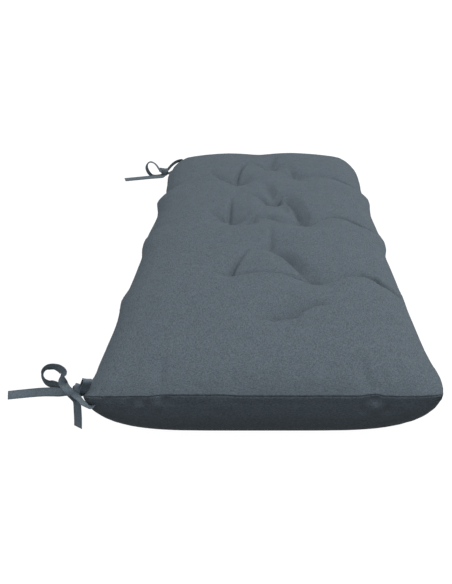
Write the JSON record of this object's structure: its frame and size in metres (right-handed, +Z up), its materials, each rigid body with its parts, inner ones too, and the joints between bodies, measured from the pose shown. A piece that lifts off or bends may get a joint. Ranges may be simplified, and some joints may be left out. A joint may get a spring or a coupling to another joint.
{
  "type": "tufted bench cushion",
  "caption": "Long filled bench cushion with a tufted, crowned top, a flat seam all round, and cloth strips tied in bows at the corners of one long side.",
  "frame": {"origin": "middle of the filled body's footprint, on the surface that it lies on; the ties are left out of that measure", "axes": "+Z up out of the tufted face, +Y along the length towards the end that is far from the camera in the picture, -X towards the long side with the ties"},
  "size_m": [0.6787, 1.5135, 0.1402],
  "materials": {
    "cushion_cloth": "matt plain-woven blue-grey cloth with a fine melange grain",
    "tie_cloth": "matt blue-grey cloth strip of the same weave, folded and stitched along its edges"
  },
  "bodies": {
    "root": {"cushion": "cushion_cloth", "tie_near_root_upper": "tie_cloth", "tie_near_root_lower": "tie_cloth", "tie_near_loop": "tie_cloth", "tie_near_tail_side": "tie_cloth", "tie_near_tail_hanging": "tie_cloth", "tie_near_knot": "tie_cloth", "tie_far_root_upper": "tie_cloth", "tie_far_root_lower": "tie_cloth", "tie_far_loop": "tie_cloth", "tie_far_tail_side": "tie_cloth", "tie_far_knot": "tie_cloth"}
  },
  "joints": []
}
